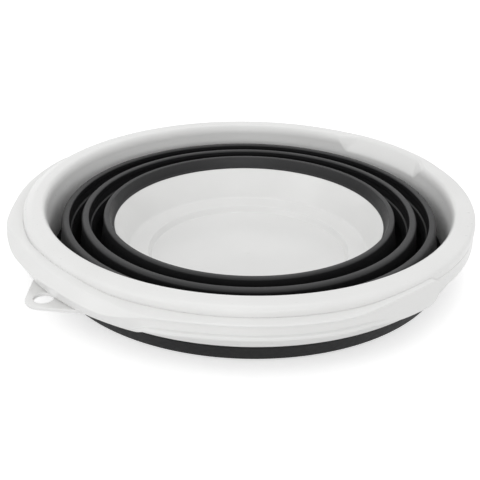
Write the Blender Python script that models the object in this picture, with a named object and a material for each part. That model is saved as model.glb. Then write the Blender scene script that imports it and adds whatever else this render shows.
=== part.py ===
"""Collapsible ten litre bucket, modelled as it lies when pushed flat.

A white polypropylene rim with a pouring spout, a hang tab and a bail handle carries a black
rubber wall. The wall has three folds, and its innermost ring holds a white base cup.
All sizes are millimetres. The origin is the centre of the ring that the bucket stands on,
+Z is up, and azimuths are degrees counter-clockwise from +X seen from above.
"""
import math

import bmesh
import bpy
from mathutils import Vector

MM = 0.001

# Facets round a full turn of the large rings and of the small pins
RING_FACETS = 64
PIN_FACETS = 24

# Gap between two pieces that meet without moving
SEAT_GAP = 0.3

# Direction of the hang tab and of the middle of the folded handle; the spout is opposite
TAB_AZIMUTH = -138.5

# Rim: the lip, the inner wall, the outer flange and the skirt below it
LIP_RADIUS = 160.0
LIP_WIDTH = 13.4
RIM_WALL = 2.4
LIP_INNER_ROUND = 0.8
LIP_OUTER_ROUND = 4.0
LIP_CROWN_ANGLE = 80.0
LIP_FALL = 1.4
LIP_TO_CREASE = 8.2
CREASE_DEPTH = 1.1
CREASE_LIP = 0.6
FLANGE_INSET = 0.3
FLANGE_HEIGHT = 10.6
FLANGE_EDGE = 0.8
SKIRT_HEIGHT = 14.8
SKIRT_DRAFT = 1.9
INNER_WALL_HEIGHT = 37.0
INNER_WALL_DRAFT = 5.4
HOLLOW_CORNER = 1.5
HOLLOW_DEPTH_EXTRA = 0.4

# Spout: a flat panel leaning outwards at the mouth, with a three-cornered facet on each side
SPOUT_LIP_WIDTH = 4.6
SPOUT_DROP = 11.8
SPOUT_TIP_ANGLE = 15.3
SPOUT_PANEL_ANGLE = 12.0
SPOUT_EDGE_ANGLE = 19.0

# Hang tab: a flat ear with a round hole, under the handle's grip
TAB_THICKNESS = 2.5
TAB_OVERHANG = 11.2
TAB_TIP_RADIUS = 11.7
TAB_TIP_ANGLE = 42.5
TAB_ROOT_HALF_WIDTH = 33.0
TAB_ROOT_SINK = 0.1
TAB_HOLE_RADIUS = 6.4

# Folding wall: its folds, each a hinge line in a valley and one on a crest
FOLDS = 3
FOLD_HEIGHT = 31.6
FOLD_PITCH = 13.7
VALLEY_HEIGHT = 4.6
CREST_RADIUS = 2.2
BAND_WALL = 2.4
WEB_WALL = 1.2
CREST_INSET = 15.0
LIP_ABOVE_CRESTS = 11.8
BAND_BEAD_ANGLES = (-35.0, 215.0)
INNER_BEAD_ANGLES = (-20.0, 150.0)
BEAD_SHOULDER = 0.8
OUTER_WALL_THICKNESS = 2.7
LAP_HEIGHT = 14.0
LAP_WALL = 1.8
FOOT_INSET = 5.4
FOOT_DROP = 1.8

# Base cup, from its seam with the rubber down to the floor and the ring it stands on
CUP_SEAM_INSET = 7.2
CUP_SEAM_DROP = 6.2
CUP_WALL = 2.5
CUP_WALL_LEAN = 7.8
CUP_CORNER_WIDTH = 11.2
CUP_CORNER_RISE = 9.5
CUP_CORNER_BULGE = (1.4, 2.1)
CUP_SHELF_WIDTH = 13.0
CUP_SHELF_RISE = 1.8
CUP_FLOOR_THICKNESS = 2.3
CUP_FLOOR_CLEARANCE = 0.6
STAND_RING_WIDTH = 5.0
STAND_RING_FLARE = 2.0
STAND_RING_SLOPE = 1.0
GATE_PAD_RADIUS = 8.0
CUP_LAP_HEIGHT = 13.0

# Handle: two pads on the pivots, two grooved arms and a hollow-backed grip between them
HANDLE_CLEARANCE = 1.3
PIVOT_BELOW_LIP = 13.0
PIVOT_RADIUS = 4.0
PIVOT_FIT = 0.1
SNAP_HEAD_RADIUS = 4.7
SNAP_HEAD_LENGTH = 2.0
SNAP_HEAD_GAP = 0.3
BOSS_RADIUS = 7.0
BOSS_DEPTH = 4.2
PAD_HALF_HEIGHT = 10.7
PAD_THICKNESS = 2.6
PAD_END = 16.0
PAD_CORNER = 8.0
ARM_THICKNESS = 7.6
ARM_HALF_HEIGHT = 5.6
ARM_GROOVE = 2.2
ARM_FLANGE = 3.1
GROOVE_STEP = 0.3
GRIP_THICKNESS = 10.2
GRIP_HALF_HEIGHT = 10.5
GRIP_LEAN = 6.2
GRIP_LEAN_STEEPNESS = 1.6
GRIP_POCKET = 7.4
GRIP_POCKET_FOOT = 3.0
GRIP_SHELL = 2.8
GRIP_RIB_ANGLES = (0.0, 9.0, 18.0)
GRIP_RIB_WIDTH = 0.8
GRIP_RIB_SLOPE = 0.3
POCKET_STEP = 0.4
HANDLE_ROUND = 1.2
GRIP_EXTRA_ROUND = 0.8
HANDLE_EDGE = 0.6
GRIP_REST_GAP = 0.3

# Where the handle's section changes, in degrees off its middle: the start and the length of
# each change, and the end of the pockets
GRIP_CROWN_SPAN = (8.0, 13.0)
GRIP_ROUND_SPAN = (20.0, 4.0)
GRIP_THICK_SPAN = (22.0, 20.0)
GRIP_FOOT_SPAN = (25.0, 3.0)
GROOVE_SPAN = (26.0, 4.0)
PAD_THIN_SPAN = (68.0, 7.0)
PAD_HEIGHT_SPAN = (72.0, 12.0)
POCKET_END_ANGLE = 23.0
PIVOT_ANGLE = 90.0

# Heights and radii that follow from the sizes above
MOUTH_RADIUS = LIP_RADIUS - LIP_WIDTH
SPOUT_DEPTH = LIP_WIDTH - SPOUT_LIP_WIDTH
TAB_REACH = LIP_RADIUS + TAB_OVERHANG
CREST_HEIGHT = VALLEY_HEIGHT + FOLD_HEIGHT
LIP_TOP = CREST_HEIGHT + CREST_RADIUS + LIP_ABOVE_CRESTS
CREASE_HEIGHT = LIP_TOP - LIP_TO_CREASE
FLANGE_RADIUS = LIP_RADIUS - FLANGE_INSET
FLANGE_BOTTOM = CREASE_HEIGHT - FLANGE_HEIGHT
SKIRT_BOTTOM = FLANGE_BOTTOM - SKIRT_HEIGHT
MOUTH_HEIGHT = LIP_TOP - LIP_INNER_ROUND
INNER_WALL_BOTTOM = MOUTH_HEIGHT - INNER_WALL_HEIGHT
LAP_STEP = RIM_WALL + SEAT_GAP
LAP_TOP_SHARE = 1.0 - LAP_HEIGHT / INNER_WALL_HEIGHT
LAP_RADIUS = MOUTH_RADIUS - INNER_WALL_DRAFT * LAP_TOP_SHARE + LAP_STEP
SKIRT_RADIUS = LAP_RADIUS + LAP_WALL + SEAT_GAP + RIM_WALL
FOOT_RADIUS = MOUTH_RADIUS - FOOT_INSET
OUTER_CREST = MOUTH_RADIUS - CREST_INSET
INNER_CREST = OUTER_CREST - FOLD_PITCH * (FOLDS - 1)
CUP_SEAM_RADIUS = INNER_CREST - CUP_SEAM_INSET
CUP_SEAM_HEIGHT = CREST_HEIGHT - CUP_SEAM_DROP
CUP_WALL_FOOT_RADIUS = CUP_SEAM_RADIUS - CUP_WALL_LEAN
CUP_SHELF_RADIUS = CUP_WALL_FOOT_RADIUS - CUP_CORNER_WIDTH
CUP_FLOOR_RADIUS = CUP_SHELF_RADIUS - CUP_SHELF_WIDTH
CUP_FLOOR_HEIGHT = CUP_FLOOR_CLEARANCE + CUP_FLOOR_THICKNESS
CUP_SHELF_HEIGHT = CUP_FLOOR_HEIGHT + CUP_SHELF_RISE
CUP_WALL_FOOT_HEIGHT = CUP_SHELF_HEIGHT + CUP_CORNER_RISE
PIVOT_HEIGHT = LIP_TOP - PIVOT_BELOW_LIP
HANDLE_RADIUS = LIP_RADIUS + HANDLE_CLEARANCE
GRIP_BOTTOM = PIVOT_HEIGHT - GRIP_HALF_HEIGHT
TAB_TOP = GRIP_BOTTOM - GRIP_REST_GAP

# Colours as linear values: white polypropylene and black thermoplastic rubber
PP_WHITE = (0.79, 0.79, 0.785)
TPR_BLACK = (0.018, 0.018, 0.02)


def clear_scene():
    """Removes every object that a new file starts with."""
    for thing in list(bpy.data.objects):
        bpy.data.objects.remove(thing, do_unlink=True)


def plastic(name, colour, roughness):
    """Returns a non-metallic material of one colour."""
    material = bpy.data.materials.new(name)
    material.use_nodes = True
    shader = material.node_tree.nodes["Principled BSDF"]
    shader.inputs["Base Color"].default_value = (*colour, 1.0)
    shader.inputs["Roughness"].default_value = roughness
    shader.inputs["Metallic"].default_value = 0.0
    return material


def polar(radius, azimuth, height):
    """Returns a point in metres from millimetres and degrees."""
    turn = math.radians(azimuth)
    return Vector((radius * math.cos(turn), radius * math.sin(turn), height)) * MM


def arc(centre, radius, start, end, count):
    """Returns count points of an arc in the (radius, height) plane, angles in degrees."""
    points = []
    for index in range(count):
        angle = math.radians(start + (end - start) * index / (count - 1))
        points.append((centre[0] + radius * math.cos(angle), centre[1] + radius * math.sin(angle)))
    return points


def blend(start, end, share):
    """Returns the value a share of the way from start to end, kept between the two."""
    share = max(0.0, min(1.0, share))
    return start + (end - start) * share


def across(value, span):
    """Returns how far a value lies through a span (start, length), kept between 0 and 1."""
    return blend(0.0, 1.0, (value - span[0]) / span[1])


def finish(name, bm, material, parent=None, sharp_angle=35.0):
    """Closes a bmesh into a named object with smooth round faces."""
    bmesh.ops.remove_doubles(bm, verts=bm.verts, dist=0.000002)
    bmesh.ops.recalc_face_normals(bm, faces=bm.faces)
    mesh = bpy.data.meshes.new(name)
    bm.to_mesh(mesh)
    bm.free()
    mesh.shade_smooth()
    mesh.set_sharp_from_angle(angle=math.radians(sharp_angle))
    thing = bpy.data.objects.new(name, mesh)
    bpy.context.scene.collection.objects.link(thing)
    if material:
        mesh.materials.append(material)
    thing.parent = parent
    return thing


def turned(name, outline, material, parent=None, closed=True):
    """Spins an outline of (radius, height) points round the Z axis."""
    bm = bmesh.new()
    points = [bm.verts.new((radius * MM, 0.0, height * MM)) for radius, height in outline]
    edges = [bm.edges.new(pair) for pair in zip(points, points[1:])]
    if closed:
        edges.append(bm.edges.new((points[-1], points[0])))
    bmesh.ops.spin(
        bm, geom=points + edges, cent=(0, 0, 0), axis=(0, 0, 1),
        angle=math.tau, steps=RING_FACETS, use_merge=True)
    return finish(name, bm, material, parent)


def lofted(name, sections, material, parent=None, ring=False):
    """Joins point loops of equal length, one after the other, into one skin."""
    bm = bmesh.new()
    loops = [[bm.verts.new(point) for point in section] for section in sections]
    pairs = list(zip(loops, loops[1:]))
    if ring:
        pairs.append((loops[-1], loops[0]))
    for first, second in pairs:
        for index in range(len(first)):
            after = (index + 1) % len(first)
            bm.faces.new((first[index], first[after], second[after], second[index]))
    if not ring:
        bm.faces.new(loops[0])
        bm.faces.new(loops[-1])
    return finish(name, bm, material, parent)


def rod(name, start, end, radius, material=None):
    """Makes a round bar between two points in metres, its radius in millimetres."""
    along = end - start
    bm = bmesh.new()
    bmesh.ops.create_cone(
        bm, cap_ends=True, segments=PIN_FACETS,
        radius1=radius * MM, radius2=radius * MM, depth=along.length)
    turn = along.to_track_quat("Z", "Y").to_matrix()
    bmesh.ops.rotate(bm, verts=bm.verts, cent=(0, 0, 0), matrix=turn)
    bmesh.ops.translate(bm, verts=bm.verts, vec=(start + end) / 2)
    return finish(name, bm, material)


def pivot_rod(name, azimuth, start, end, radius, height=PIVOT_HEIGHT):
    """Makes a round guide bar on the handle's axis, between two distances from the centre."""
    return rod(name, polar(start, azimuth, height), polar(end, azimuth, height), radius)


def combine(target, tool, operation):
    """Adds a guide solid to the target, or cuts it away, and hides the guide."""
    change = target.modifiers.new(tool.name, "BOOLEAN")
    change.operation = operation
    change.solver = "EXACT"
    change.object = tool
    tool.hide_render = True
    tool.display_type = "WIRE"


def inner_wall_radius(height):
    """Returns the inner face radius of the rim's inner wall, which narrows downwards."""
    drop = (MOUTH_HEIGHT - height) / INNER_WALL_HEIGHT
    return MOUTH_RADIUS - INNER_WALL_DRAFT * drop


def spout_push(azimuth, height):
    """Returns how far the spout moves the inner wall outwards at a place on it."""
    off = abs((azimuth - TAB_AZIMUTH) % 360.0 - 180.0)
    rise = min(1.0, 1.0 - (LIP_TOP - height) / SPOUT_DROP)
    if rise < 0.001:
        return 0.0
    panel_edge = blend(SPOUT_TIP_ANGLE, SPOUT_PANEL_ANGLE, rise)
    facet_edge = blend(SPOUT_TIP_ANGLE, SPOUT_EDGE_ANGLE, rise)
    return SPOUT_DEPTH * rise * (1.0 - across(off, (panel_edge, facet_edge - panel_edge)))


def pushed(points, azimuth):
    """Returns inner wall points moved outwards by the spout at an azimuth."""
    return [(radius + spout_push(azimuth, height), height) for radius, height in points]


def rim_outline(azimuth):
    """Returns the rim's section at an azimuth as (radius, height) points."""
    spout_foot = LIP_TOP - SPOUT_DROP
    inner_round = (MOUTH_RADIUS + LIP_INNER_ROUND, MOUTH_HEIGHT)
    outer_round = (LIP_RADIUS - LIP_OUTER_ROUND, LIP_TOP - LIP_FALL - LIP_OUTER_ROUND)
    inside = pushed([
        (inner_wall_radius(INNER_WALL_BOTTOM), INNER_WALL_BOTTOM),
        (inner_wall_radius(spout_foot), spout_foot),
        *arc(inner_round, LIP_INNER_ROUND, 180.0, LIP_CROWN_ANGLE, 5),
    ], azimuth)
    outside = [
        *arc(outer_round, LIP_OUTER_ROUND, LIP_CROWN_ANGLE, 0.0, 5),
        (LIP_RADIUS, CREASE_HEIGHT + CREASE_LIP),
        (LIP_RADIUS - CREASE_DEPTH, CREASE_HEIGHT),
        (FLANGE_RADIUS, CREASE_HEIGHT - FLANGE_EDGE),
        (FLANGE_RADIUS, FLANGE_BOTTOM + FLANGE_EDGE),
        (FLANGE_RADIUS - FLANGE_EDGE, FLANGE_BOTTOM),
        (SKIRT_RADIUS + SKIRT_DRAFT, FLANGE_BOTTOM),
        (SKIRT_RADIUS, SKIRT_BOTTOM),
        (SKIRT_RADIUS - RIM_WALL, SKIRT_BOTTOM),
    ]
    hollow_top = LIP_TOP - LIP_FALL - RIM_WALL - HOLLOW_DEPTH_EXTRA
    hollow_side = hollow_top - HOLLOW_CORNER
    hollow_foot = FLANGE_BOTTOM + RIM_WALL
    hollow_radius = FLANGE_RADIUS - RIM_WALL
    hollow = [
        (SKIRT_RADIUS + SKIRT_DRAFT - RIM_WALL, hollow_foot),
        (hollow_radius, hollow_foot),
        (hollow_radius, hollow_side),
        (hollow_radius - HOLLOW_CORNER, hollow_top),
    ]
    back = pushed([
        (MOUTH_RADIUS + RIM_WALL + HOLLOW_CORNER, hollow_top),
        (inner_wall_radius(hollow_side) + RIM_WALL, hollow_side),
        (inner_wall_radius(spout_foot) + RIM_WALL, spout_foot),
        (inner_wall_radius(INNER_WALL_BOTTOM) + RIM_WALL, INNER_WALL_BOTTOM),
    ], azimuth)
    return inside + outside + hollow + back


def rim_azimuths():
    """Returns the azimuths of the rim's sections, with one at each edge of the spout."""
    spout = TAB_AZIMUTH + 180.0
    edges = (SPOUT_PANEL_ANGLE, SPOUT_TIP_ANGLE, SPOUT_EDGE_ANGLE)
    extra = [spout + side * off for side in (-1, 1) for off in edges]
    even = [360.0 * index / RING_FACETS for index in range(RING_FACETS)]
    near = [azimuth for azimuth in even
            if all(abs((azimuth - other + 180.0) % 360.0 - 180.0) > 1.2 for other in extra)]
    return sorted(azimuth % 360.0 for azimuth in near + extra)


def tab_outline():
    """Returns the plan of the hang tab, as (reach, width) points: a round tip and a wide root."""
    tip = []
    for index in range(9):
        angle = math.radians(TAB_TIP_ANGLE * (index / 4 - 1.0))
        tip.append((TAB_REACH + TAB_TIP_RADIUS * math.cos(angle), TAB_TIP_RADIUS * math.sin(angle)))
    flare = math.tan(math.radians(TAB_TIP_ANGLE))
    side_reach = tip[-1][0] - (TAB_ROOT_HALF_WIDTH - tip[-1][1]) * flare
    root = SKIRT_RADIUS - TAB_ROOT_SINK
    spread = math.degrees(math.asin(TAB_ROOT_HALF_WIDTH / root))
    back = arc((0.0, 0.0), root, spread, -spread, 6)
    return [(side_reach, -TAB_ROOT_HALF_WIDTH), *tip, (side_reach, TAB_ROOT_HALF_WIDTH), *back]


def hang_tab():
    """Makes the guide solids of the tab and of its hole, turned to the tab's azimuth."""
    turn = math.radians(TAB_AZIMUTH)
    along = Vector((math.cos(turn), math.sin(turn), 0.0))
    across = Vector((-math.sin(turn), math.cos(turn), 0.0))
    low = Vector((0.0, 0.0, TAB_TOP - TAB_THICKNESS))
    bm = bmesh.new()
    face = bm.faces.new(
        [bm.verts.new((along * reach + across * width + low) * MM) for reach, width in tab_outline()])
    raised = bmesh.ops.extrude_face_region(bm, geom=[face])
    lifted = [item for item in raised["geom"] if isinstance(item, bmesh.types.BMVert)]
    bmesh.ops.translate(bm, verts=lifted, vec=(0.0, 0.0, TAB_THICKNESS * MM))
    tab = finish("tab_guide", bm, None)
    middle = along * TAB_REACH + low
    deep = middle - Vector((0.0, 0.0, 2.0))
    high = middle + Vector((0.0, 0.0, TAB_THICKNESS + 2.0))
    return tab, rod("tab_hole_guide", deep * MM, high * MM, TAB_HOLE_RADIUS)


def snap_head_reach():
    """Returns the radii between which the stud's snap head lies, behind the boss."""
    outer = FLANGE_RADIUS - BOSS_DEPTH - SNAP_HEAD_GAP
    return outer - SNAP_HEAD_LENGTH, outer


def make_rim(material, parent):
    """Makes the rim with its spout, hang tab and the two pierced bosses for the handle."""
    sections = []
    for azimuth in rim_azimuths():
        sections.append([polar(radius, azimuth, height) for radius, height in rim_outline(azimuth)])
    rim = lofted("rim", sections, material, parent, ring=True)
    tab, hole = hang_tab()
    combine(rim, tab, "UNION")
    combine(rim, hole, "DIFFERENCE")
    head_start, head_end = snap_head_reach()
    boss_start = FLANGE_RADIUS - BOSS_DEPTH
    for side, label in ((PIVOT_ANGLE, "front"), (-PIVOT_ANGLE, "back")):
        azimuth = TAB_AZIMUTH + side
        boss = pivot_rod("boss_guide_" + label, azimuth, boss_start, FLANGE_RADIUS, BOSS_RADIUS)
        combine(rim, boss, "UNION")
        bore = pivot_rod(
            "bore_guide_" + label, azimuth, head_start - SNAP_HEAD_GAP, LIP_RADIUS + 4.0,
            PIVOT_RADIUS + PIVOT_FIT)
        combine(rim, bore, "DIFFERENCE")
        relief = pivot_rod(
            "relief_guide_" + label, azimuth, head_start - SNAP_HEAD_GAP, head_end + SNAP_HEAD_GAP,
            SNAP_HEAD_RADIUS + SNAP_HEAD_GAP)
        combine(rim, relief, "DIFFERENCE")
    return rim


def crest_radius(fold):
    """Returns the radius of a fold's crest line; fold 1 is the outermost."""
    return OUTER_CREST - FOLD_PITCH * (fold - 1)


def valley_radius(fold):
    """Returns the radius of the middle of the wall at the valley outside a fold's crest."""
    if fold == 1:
        return FOOT_RADIUS - OUTER_WALL_THICKNESS / 2
    return crest_radius(fold) + FOLD_PITCH / 2


def valley_wall(fold):
    """Returns the thickness of the wall that ends in the valley outside a fold's crest."""
    return OUTER_WALL_THICKNESS if fold == 1 else BAND_WALL


def make_outer_wall(material, parent):
    """Makes the outermost wall: lapped round the rim's inner wall, ending in the foot."""
    half = OUTER_WALL_THICKNESS / 2
    middle = valley_radius(1)
    under_rim = INNER_WALL_BOTTOM - SEAT_GAP
    lap_top = INNER_WALL_BOTTOM + LAP_HEIGHT
    lap_foot = inner_wall_radius(under_rim) + LAP_STEP
    lap_head = inner_wall_radius(lap_top) + LAP_STEP
    foot = arc((middle, VALLEY_HEIGHT - FOOT_DROP + half), half, 0.0, -180.0, 5)
    outline = [
        (lap_head, lap_top),
        (lap_head + LAP_WALL, lap_top),
        (lap_foot + LAP_WALL, under_rim),
        *foot,
        (inner_wall_radius(under_rim), under_rim),
        (lap_foot, under_rim),
    ]
    return turned("outer_wall", outline, material, parent)


def make_band(name, fold, material, parent):
    """Makes a stiff ring of the wall, from the crest of one fold to the valley of the next."""
    crest = (crest_radius(fold), CREST_HEIGHT)
    valley = (valley_radius(fold + 1), VALLEY_HEIGHT)
    half = BAND_WALL / 2
    lean = (crest[0] - valley[0]) / FOLD_HEIGHT
    shoulder = CREST_HEIGHT - CREST_RADIUS - BEAD_SHOULDER
    bead = arc(crest, CREST_RADIUS, *BAND_BEAD_ANGLES, 6)
    foot = arc(valley, half, 180.0, 360.0, 4)
    inner_side = (crest[0] - half - lean * CREST_RADIUS, shoulder)
    outer_side = (crest[0] + half - lean * CREST_RADIUS, shoulder)
    return turned(name, [*bead, inner_side, *foot, outer_side], material, parent)


def make_web(name, fold, material, parent):
    """Makes the thin wall that turns over when a fold opens, from its valley to its crest."""
    half = WEB_WALL / 2
    low = valley_radius(fold) - valley_wall(fold) / 2 - SEAT_GAP - half
    high = crest_radius(fold) + CREST_RADIUS + SEAT_GAP + half
    outline = [
        (low + half, VALLEY_HEIGHT),
        (high + half, CREST_HEIGHT),
        (high - half, CREST_HEIGHT),
        (low - half, VALLEY_HEIGHT),
    ]
    return turned(name, outline, material, parent)


def cup_wall_radius(height):
    """Returns the inner radius of the cup's straight wall at a height."""
    share = (height - CUP_WALL_FOOT_HEIGHT) / (CUP_SEAM_HEIGHT - CUP_WALL_FOOT_HEIGHT)
    return CUP_WALL_FOOT_RADIUS + CUP_WALL_LEAN * share


def make_inner_wall(material):
    """Makes the innermost ring of the wall: its crest and the lap round the cup."""
    over_cup = CUP_SEAM_HEIGHT + SEAT_GAP
    lap_foot = CUP_SEAM_HEIGHT - CUP_LAP_HEIGHT
    inside = CUP_WALL + SEAT_GAP
    outside = inside + LAP_WALL
    outline = [
        *arc((INNER_CREST, CREST_HEIGHT), CREST_RADIUS, *INNER_BEAD_ANGLES, 5),
        (CUP_SEAM_RADIUS, over_cup),
        (CUP_SEAM_RADIUS + inside, over_cup),
        (cup_wall_radius(lap_foot) + inside, lap_foot),
        (cup_wall_radius(lap_foot) + outside, lap_foot),
        (CUP_SEAM_RADIUS + outside, over_cup - BEAD_SHOULDER),
    ]
    return turned("inner_wall", outline, material)


def make_base_cup(material):
    """Makes the cup: flared wall, round corner, sunk floor, stand ring and moulding gate pad."""
    ring_inner = CUP_SHELF_RADIUS - STAND_RING_WIDTH
    corner_radius = (CUP_WALL_FOOT_RADIUS + CUP_SHELF_RADIUS) / 2 + CUP_CORNER_BULGE[0]
    corner_height = (CUP_WALL_FOOT_HEIGHT + CUP_SHELF_HEIGHT) / 2 - CUP_CORNER_BULGE[1]
    outline = [
        (0.0, CUP_FLOOR_HEIGHT),
        (CUP_FLOOR_RADIUS, CUP_FLOOR_HEIGHT),
        (CUP_SHELF_RADIUS, CUP_SHELF_HEIGHT),
        (corner_radius, corner_height),
        (CUP_WALL_FOOT_RADIUS, CUP_WALL_FOOT_HEIGHT),
        (CUP_SEAM_RADIUS, CUP_SEAM_HEIGHT),
        (CUP_SEAM_RADIUS + CUP_WALL, CUP_SEAM_HEIGHT),
        (CUP_WALL_FOOT_RADIUS + CUP_WALL, CUP_WALL_FOOT_HEIGHT),
        (corner_radius + CUP_WALL * 0.9, corner_height - CUP_WALL * 0.5),
        (CUP_SHELF_RADIUS + STAND_RING_FLARE, CUP_SHELF_HEIGHT - CUP_WALL),
        (CUP_SHELF_RADIUS, 0.0),
        (ring_inner, 0.0),
        (ring_inner - STAND_RING_SLOPE, CUP_FLOOR_CLEARANCE),
        (GATE_PAD_RADIUS, CUP_FLOOR_CLEARANCE),
        (GATE_PAD_RADIUS, 0.0),
        (0.0, 0.0),
    ]
    return turned("base_cup", outline, material, closed=False)


def handle_section(off_middle):
    """Returns the handle's section at an angle from its middle, as (radius, height) points.

    Heights are measured from the pivot. The arms are grooved outside, the grip leans in at
    its foot and is hollow at the back, and the pads are plain.
    """
    off = abs(off_middle)
    past_pivot = math.radians(max(0.0, off - PIVOT_ANGLE)) * HANDLE_RADIUS
    corner = max(0.0, past_pivot - (PAD_END - PAD_CORNER))
    corner_fall = PAD_CORNER - math.sqrt(max(0.0, PAD_CORNER ** 2 - corner ** 2))
    pad_half = PAD_HALF_HEIGHT - corner_fall
    pad_thin = across(off, PAD_THIN_SPAN)
    grip_foot = 1.0 - across(off, GRIP_FOOT_SPAN)
    top = blend(GRIP_HALF_HEIGHT, ARM_HALF_HEIGHT, across(off, GRIP_CROWN_SPAN))
    foot = blend(ARM_HALF_HEIGHT, GRIP_HALF_HEIGHT, grip_foot)
    top = blend(top, pad_half, across(off, PAD_HEIGHT_SPAN))
    foot = blend(foot, pad_half, across(off, PAD_HEIGHT_SPAN))
    thick = blend(GRIP_THICKNESS, ARM_THICKNESS, across(off, GRIP_THICK_SPAN))
    thick = blend(thick, PAD_THICKNESS, pad_thin)
    outer = HANDLE_RADIUS + thick
    low_outer = outer - GRIP_LEAN * grip_foot
    groove = ARM_GROOVE * across(off, GROOVE_SPAN) * (1.0 - pad_thin)
    rounding = HANDLE_ROUND + GRIP_EXTRA_ROUND * (1.0 - across(off, GRIP_ROUND_SPAN))
    rounding = min(rounding, thick / 2.5)
    flange = min(ARM_FLANGE, 0.3 * (top + foot))
    shell = min(GRIP_SHELL, 0.3 * (top + foot))
    low_edge = flange - foot
    high_edge = top - flange
    side = blend(low_outer, outer, flange / (top + foot) * GRIP_LEAN_STEEPNESS)
    near_rib = min(abs(off - rib) for rib in GRIP_RIB_ANGLES)
    rib_side = (GRIP_RIB_WIDTH / 2, GRIP_RIB_SLOPE)
    pocket = across(near_rib, rib_side) if off < POCKET_END_ANGLE else 0.0
    return [
        (HANDLE_RADIUS, HANDLE_EDGE - foot),
        (HANDLE_RADIUS + HANDLE_EDGE, -foot),
        (low_outer - rounding, -foot),
        (low_outer, rounding - foot),
        (side, low_edge),
        (side - groove, low_edge + GROOVE_STEP),
        (outer - groove, high_edge - GROOVE_STEP),
        (outer, high_edge),
        (outer, top - rounding),
        (outer - 0.3 * rounding, top - 0.3 * rounding),
        (outer - rounding, top),
        (HANDLE_RADIUS + HANDLE_EDGE, top),
        (HANDLE_RADIUS, top - HANDLE_EDGE),
        (HANDLE_RADIUS, top - shell),
        (HANDLE_RADIUS + GRIP_POCKET * pocket, top - shell - POCKET_STEP),
        (HANDLE_RADIUS + GRIP_POCKET_FOOT * pocket, shell - foot + POCKET_STEP),
        (HANDLE_RADIUS, shell - foot),
    ]


def handle_angles():
    """Returns the angles off the handle's middle at which its sections lie."""
    near = GRIP_RIB_WIDTH / 2
    steps = (-near - GRIP_RIB_SLOPE, -near, near, near + GRIP_RIB_SLOPE)
    ribs = [rib + step for rib in GRIP_RIB_ANGLES for step in steps if rib + step > 0.0]
    middles = [(first + second) / 2 for first, second in zip(GRIP_RIB_ANGLES, GRIP_RIB_ANGLES[1:])]
    grip = [0.0, *middles, POCKET_END_ANGLE - 0.1, POCKET_END_ANGLE]
    for start, length in (GRIP_FOOT_SPAN, GROOVE_SPAN):
        grip += [start, start + length]
    arm_start = sum(GROOVE_SPAN)
    arm_length = PAD_THIN_SPAN[0] - arm_start
    arm = [arm_start + arm_length * step / 7 for step in range(1, 8)]
    pad_start = sum(PAD_THIN_SPAN)
    pad_length = PIVOT_ANGLE - pad_start
    pad = [pad_start + pad_length * step / 5 for step in range(6)]
    pad.append(PAD_THIN_SPAN[0] + PAD_THIN_SPAN[1] / 2)
    reach = [PAD_END - PAD_CORNER * (1.0 - share) for share in (0.0, 0.4, 0.7, 0.9, 1.0)]
    end = [PIVOT_ANGLE + math.degrees(length / HANDLE_RADIUS) for length in reach]
    half = sorted(set(ribs + grip + arm + pad + end))
    return [-angle for angle in reversed(half[1:])] + half


def make_handle(material, pivot):
    """Makes the bail handle, in the pivot's own frame, with a stud on each pad."""
    sections = []
    for angle in handle_angles():
        outline = handle_section(angle)
        sections.append([polar(radius, angle - PIVOT_ANGLE, height) for radius, height in outline])
    handle = lofted("handle", sections, material, pivot)
    head_start, head_end = snap_head_reach()
    stud_end = HANDLE_RADIUS + PAD_THICKNESS / 2
    for azimuth, label in ((0.0, "front"), (180.0, "back")):
        stud = pivot_rod("stud_guide_" + label, azimuth, head_start, stud_end, PIVOT_RADIUS, 0.0)
        head = pivot_rod(
            "head_guide_" + label, azimuth, head_start, head_end, SNAP_HEAD_RADIUS, 0.0)
        for guide in (stud, head):
            guide.parent = pivot
            combine(handle, guide, "UNION")
    return handle


def joint_frame(name, height=0.0, turn=0.0):
    """Makes an empty that marks a joint's place and direction."""
    frame = bpy.data.objects.new(name, None)
    frame.location = (0.0, 0.0, height * MM)
    frame.rotation_euler = (0.0, 0.0, math.radians(turn))
    bpy.context.scene.collection.objects.link(frame)
    return frame


def main():
    """Builds the bucket."""
    clear_scene()
    white = plastic("white_polypropylene", PP_WHITE, 0.32)
    black = plastic("black_rubber", TPR_BLACK, 0.5)
    middle_slide = joint_frame("fold_inner_slide")
    outer_slide = joint_frame("fold_middle_slide")
    rim_slide = joint_frame("fold_outer_slide")
    pivot = joint_frame("handle_pivot", PIVOT_HEIGHT, TAB_AZIMUTH + PIVOT_ANGLE)
    make_base_cup(white)
    make_inner_wall(black)
    make_web("inner_web", 3, black, middle_slide)
    make_band("middle_band", 2, black, middle_slide)
    make_web("middle_web", 2, black, outer_slide)
    make_band("outer_band", 1, black, outer_slide)
    make_web("outer_web", 1, black, rim_slide)
    make_outer_wall(black, rim_slide)
    make_rim(white, rim_slide)
    make_handle(white, pivot)


main()
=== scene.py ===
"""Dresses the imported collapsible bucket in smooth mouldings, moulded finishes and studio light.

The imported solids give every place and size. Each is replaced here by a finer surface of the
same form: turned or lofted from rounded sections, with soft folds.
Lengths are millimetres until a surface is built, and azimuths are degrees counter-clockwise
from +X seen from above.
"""

import logging
import math
from dataclasses import dataclass
from enum import Enum

import bpy
import numpy as np
from bpy.types import Material, Node, NodeSocket, NodeTree, Object
from mathutils import Matrix, Vector


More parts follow.
